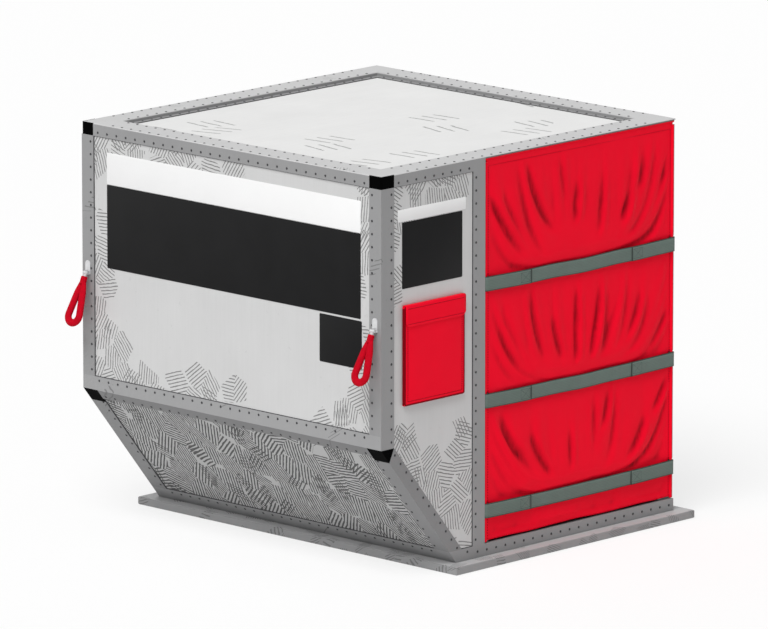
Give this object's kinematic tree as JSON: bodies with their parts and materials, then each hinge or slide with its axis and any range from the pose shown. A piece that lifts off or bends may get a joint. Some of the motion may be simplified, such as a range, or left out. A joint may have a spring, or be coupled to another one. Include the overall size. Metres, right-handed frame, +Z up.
{
  "type": "air cargo container",
  "caption": "Contoured lower-deck air cargo container: riveted metal body on a lipped base, sloped outboard side, strapped fabric curtain door, pull loops and document pouch.",
  "frame": {"origin": "centre of the base's flat underside", "axes": "+Z up, -X towards the sloped outboard side, -Y towards the curtain door"},
  "size_m": [1.598, 1.534, 1.41],
  "materials": {
    "base_rail": "extruded, scuffed",
    "floor": "rolled sheet",
    "frame": "extruded, satin",
    "roof_rim": "extruded, satin",
    "corner": "moulded, matt",
    "roof": "rolled sheet, dull",
    "wall": "rolled sheet, dull",
    "slope": "rolled sheet, scratched",
    "curtain": "coated woven cloth",
    "webbing": "woven webbing",
    "pouch": "coated woven cloth",
    "steel": "plated",
    "loop": "padded webbing"
  },
  "bodies": {
    "container": {"base_rail_front": "base_rail", "base_rail_rear": "base_rail", "base_rail_outboard": "base_rail", "base_rail_inboard": "base_rail", "base_sheet": "floor", "slope_foot_rail": "frame", "inboard_foot_rail": "frame", "rear_foot_rail": "frame", "door_sill": "frame", "knuckle_rail": "frame", "outboard_post_front": "frame", "outboard_post_rear": "frame", "inboard_post_front": "frame", "inboard_post_rear": "frame", "slope_strut_front": "frame", "slope_strut_rear": "frame", "door_post": "frame", "door_header": "frame", "curtain_track": "frame", "edge_channel_left": "frame", "edge_channel_right": "frame", "roof_rail_front": "roof_rim", "roof_rail_rear": "roof_rim", "roof_rail_outboard": "roof_rim", "roof_rail_inboard": "roof_rim", "knuckle_cap_front": "corner", "knuckle_cap_rear": "corner", "corner_cap_front": "corner", "corner_cap_rear": "corner", "roof_panel": "roof", "outboard_panel": "wall", "inboard_panel": "wall", "front_side_panel": "wall", "rear_panel": "wall", "slope_panel": "slope", "document_pouch": "pouch", "loop_bracket_front": "steel", "loop_pin_front": "steel", "loop_bracket_rear": "steel", "loop_pin_rear": "steel"},
    "curtain": {"curtain": "curtain", "edge_bar_left": "steel", "edge_bar_right": "steel", "strap_top": "webbing", "strap_middle": "webbing", "strap_bottom": "webbing"},
    "pouch_flap": {"pouch_flap": "pouch"},
    "pull_loop_front": {"loop_eye_front": "steel", "pull_loop_front": "loop"},
    "pull_loop_rear": {"loop_eye_rear": "steel", "pull_loop_rear": "loop"}
  },
  "joints": [
    {"name": "curtain_lift", "type": "hinge", "parent": "container", "child": "curtain", "pos_m": [0, -0.708, 1.4001], "axis": [-1, 0, 0], "range_deg": [0, 105]},
    {"name": "pouch_flap_lift", "type": "hinge", "parent": "container", "child": "pouch_flap", "pos_m": [-0.6595, -0.7129, 0.9559], "axis": [-1, 0, 0], "range_deg": [0, 85]},
    {"name": "pull_loop_front_swing", "type": "hinge", "parent": "container", "child": "pull_loop_front", "pos_m": [-0.923, -0.687, 0.885], "axis": [0, 1, 0], "range_deg": [-22, 90]},
    {"name": "pull_loop_rear_swing", "type": "hinge", "parent": "container", "child": "pull_loop_rear", "pos_m": [-0.923, 0.687, 0.885], "axis": [0, 1, 0], "range_deg": [-22, 90]}
  ]
}
